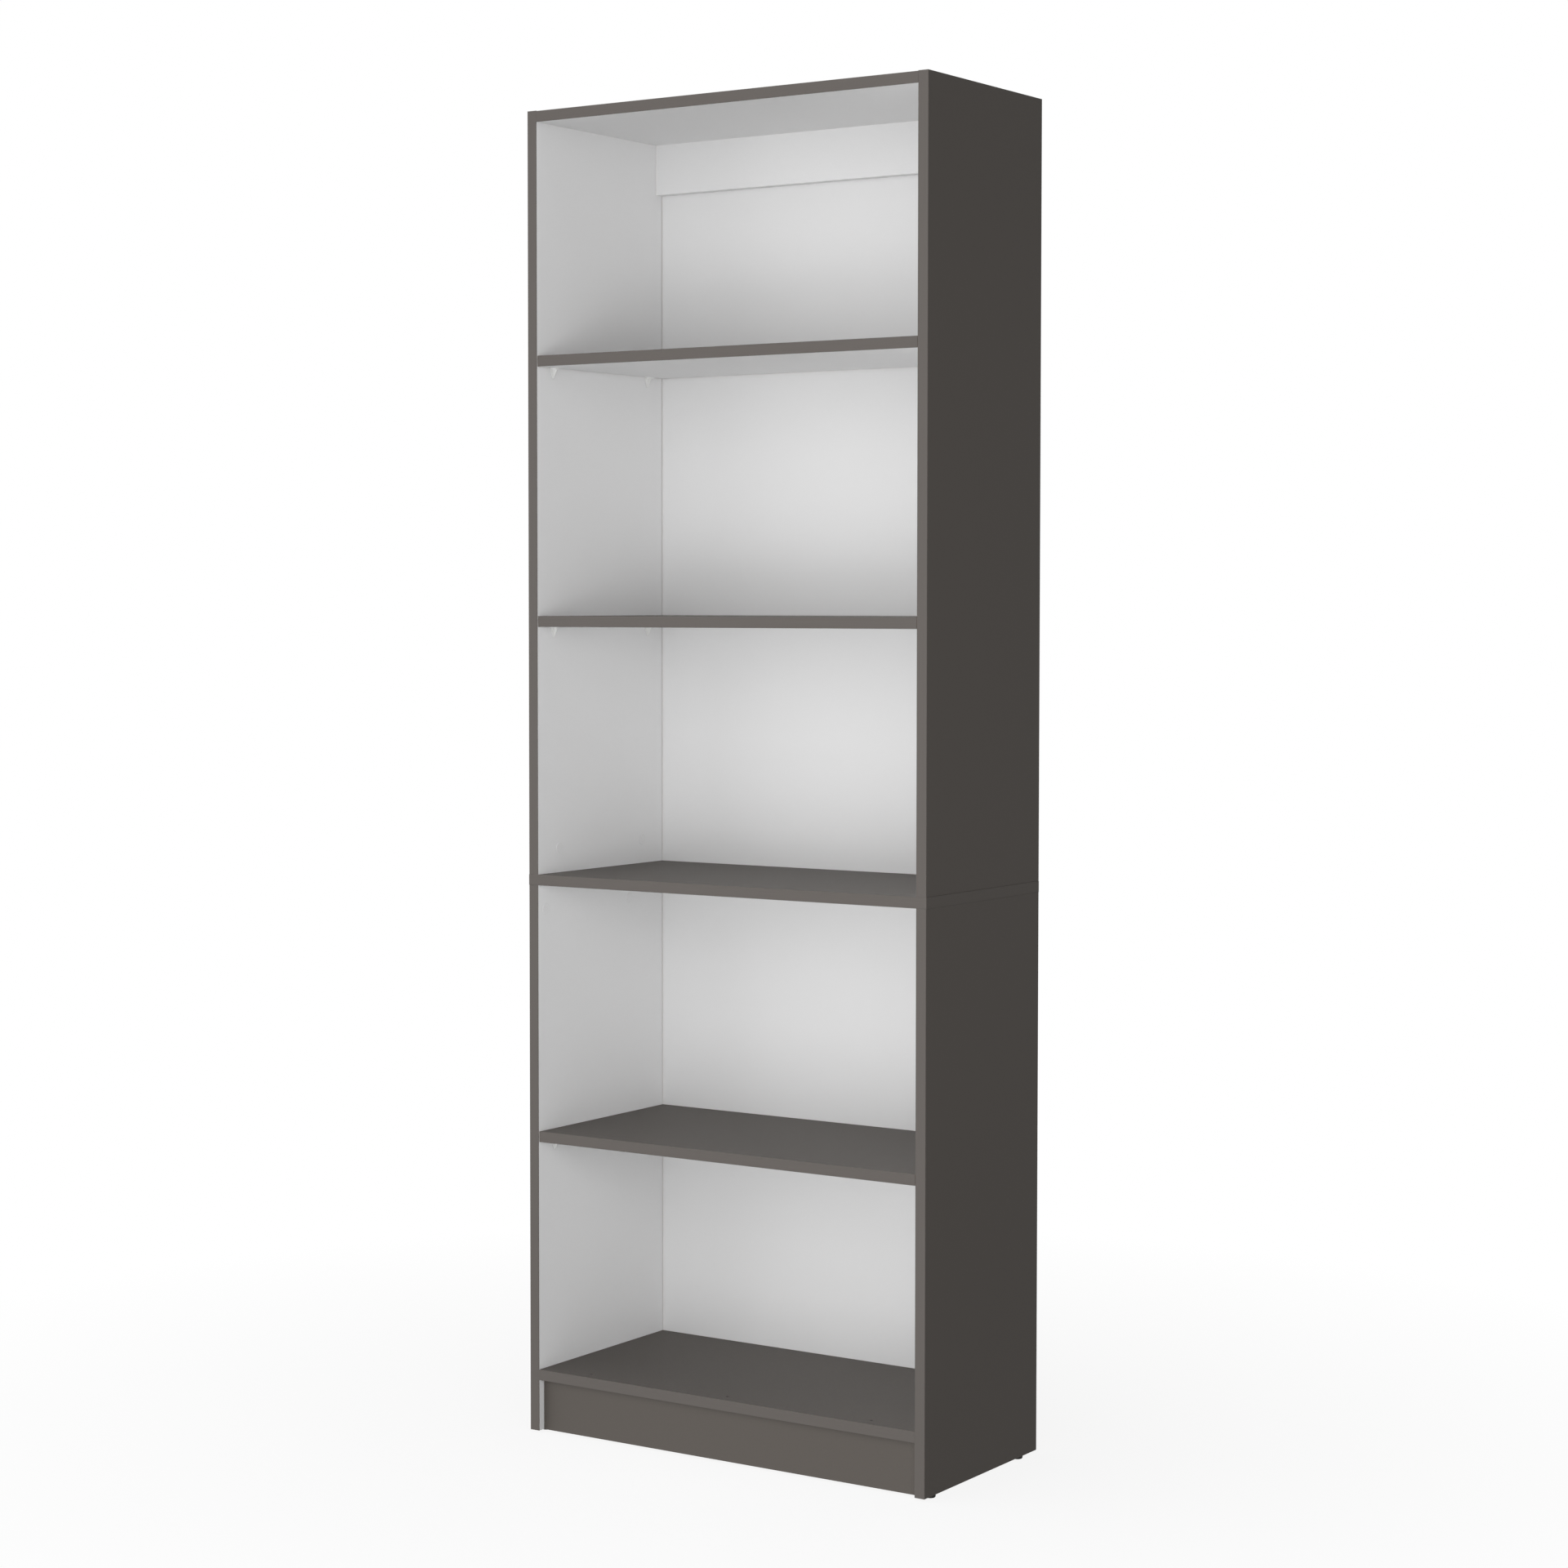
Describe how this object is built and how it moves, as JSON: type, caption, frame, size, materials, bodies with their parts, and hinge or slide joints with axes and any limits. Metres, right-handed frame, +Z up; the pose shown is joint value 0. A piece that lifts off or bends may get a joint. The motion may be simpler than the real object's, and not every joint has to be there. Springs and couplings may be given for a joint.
{
  "type": "bookcase",
  "caption": "Tall narrow open bookcase with a dark shell, white inner faces, a fixed middle panel, and loose shelves that rest on push-in pegs.",
  "frame": {"origin": "on the floor, in the middle of the overall width and depth", "axes": "+Z up, the open front faces -Y, +X to the right as seen from the front"},
  "size_m": [0.6408, 0.3036, 1.838],
  "materials": {
    "dark_melamine": "matte warm grey-brown melamine on chipboard",
    "white_melamine": "matte white melamine on chipboard",
    "dark_edge_band": "matte warm grey-brown edge band",
    "white_hardboard": "white painted face, raw brown rear",
    "peg_plastic": "white moulded plastic",
    "white_plastic": "white moulded cap",
    "cast_zinc": "die-cast zinc",
    "bright_steel": "zinc-plated steel",
    "dark_steel": "dark coated steel",
    "beech": "fluted beech",
    "black_plastic": "black moulded plastic"
  },
  "bodies": {
    "carcass": {"back_nails_lower": "bright_steel", "back_nails_upper": "bright_steel", "back_panel_lower": "white_hardboard", "back_panel_upper": "white_hardboard", "bottom_cam_bolts": "bright_steel", "bottom_cams": "cast_zinc", "bottom_dowels": "beech", "bottom_front_band": "dark_edge_band", "bottom_panel": "dark_melamine", "floor_glides": "black_plastic", "kick_panel": "dark_melamine", "kick_screws": "dark_steel", "left_side_lower": "dark_melamine", "left_side_upper": "dark_melamine", "middle_cam_bolts": "bright_steel", "middle_dowels": "beech", "middle_end_bands": "dark_edge_band", "middle_front_band": "dark_edge_band", "middle_panel": "dark_melamine", "rail_cam_bolts": "bright_steel", "rail_cams": "cast_zinc", "right_side_lower": "dark_melamine", "right_side_upper": "dark_melamine", "side_cam_covers": "white_plastic", "side_cams_lower": "cast_zinc", "side_cams_upper": "cast_zinc", "side_front_bands": "dark_edge_band", "side_top_bands": "dark_edge_band", "top_cam_bolts": "bright_steel", "top_cam_covers": "white_plastic", "top_cams": "cast_zinc", "top_dowels": "beech", "top_front_band": "dark_edge_band", "top_panel": "dark_melamine", "top_rail": "white_melamine"},
    "lower_shelf": {"lower_shelf": "dark_melamine", "lower_shelf_front_band": "dark_edge_band"},
    "second_shelf": {"second_shelf": "dark_melamine", "second_shelf_front_band": "dark_edge_band"},
    "upper_shelf": {"upper_shelf": "dark_melamine", "upper_shelf_front_band": "dark_edge_band"},
    "lower_peg_left_front": {"lower_peg_left_front": "peg_plastic"},
    "lower_peg_left_rear": {"lower_peg_left_rear": "peg_plastic"},
    "lower_peg_right_front": {"lower_peg_right_front": "peg_plastic"},
    "lower_peg_right_rear": {"lower_peg_right_rear": "peg_plastic"},
    "second_peg_left_front": {"second_peg_left_front": "peg_plastic"},
    "second_peg_left_rear": {"second_peg_left_rear": "peg_plastic"},
    "second_peg_right_front": {"second_peg_right_front": "peg_plastic"},
    "second_peg_right_rear": {"second_peg_right_rear": "peg_plastic"},
    "upper_peg_left_front": {"upper_peg_left_front": "peg_plastic"},
    "upper_peg_left_rear": {"upper_peg_left_rear": "peg_plastic"},
    "upper_peg_right_front": {"upper_peg_right_front": "peg_plastic"},
    "upper_peg_right_rear": {"upper_peg_right_rear": "peg_plastic"}
  },
  "joints": [
    {"name": "upper_shelf_pull_out", "type": "slide", "parent": "carcass", "child": "upper_shelf", "axis": [0, -1, 0], "range_m": [0, 0.3]},
    {"name": "second_shelf_pull_out", "type": "slide", "parent": "carcass", "child": "second_shelf", "axis": [0, -1, 0], "range_m": [0, 0.3]},
    {"name": "lower_shelf_pull_out", "type": "slide", "parent": "carcass", "child": "lower_shelf", "axis": [0, -1, 0], "range_m": [0, 0.3]},
    {"name": "upper_peg_left_front_pull", "type": "slide", "parent": "carcass", "child": "upper_peg_left_front", "axis": [1, 0, 0], "range_m": [0, 0.01]},
    {"name": "upper_peg_left_rear_pull", "type": "slide", "parent": "carcass", "child": "upper_peg_left_rear", "axis": [1, 0, 0], "range_m": [0, 0.01]},
    {"name": "upper_peg_right_front_pull", "type": "slide", "parent": "carcass", "child": "upper_peg_right_front", "axis": [-1, 0, 0], "range_m": [0, 0.01]},
    {"name": "upper_peg_right_rear_pull", "type": "slide", "parent": "carcass", "child": "upper_peg_right_rear", "axis": [-1, 0, 0], "range_m": [0, 0.01]},
    {"name": "second_peg_left_front_pull", "type": "slide", "parent": "carcass", "child": "second_peg_left_front", "axis": [1, 0, 0], "range_m": [0, 0.01]},
    {"name": "second_peg_left_rear_pull", "type": "slide", "parent": "carcass", "child": "second_peg_left_rear", "axis": [1, 0, 0], "range_m": [0, 0.01]},
    {"name": "second_peg_right_front_pull", "type": "slide", "parent": "carcass", "child": "second_peg_right_front", "axis": [-1, 0, 0], "range_m": [0, 0.01]},
    {"name": "second_peg_right_rear_pull", "type": "slide", "parent": "carcass", "child": "second_peg_right_rear", "axis": [-1, 0, 0], "range_m": [0, 0.01]},
    {"name": "lower_peg_left_front_pull", "type": "slide", "parent": "carcass", "child": "lower_peg_left_front", "axis": [1, 0, 0], "range_m": [0, 0.01]},
    {"name": "lower_peg_left_rear_pull", "type": "slide", "parent": "carcass", "child": "lower_peg_left_rear", "axis": [1, 0, 0], "range_m": [0, 0.01]},
    {"name": "lower_peg_right_front_pull", "type": "slide", "parent": "carcass", "child": "lower_peg_right_front", "axis": [-1, 0, 0], "range_m": [0, 0.01]},
    {"name": "lower_peg_right_rear_pull", "type": "slide", "parent": "carcass", "child": "lower_peg_right_rear", "axis": [-1, 0, 0], "range_m": [0, 0.01]}
  ]
}
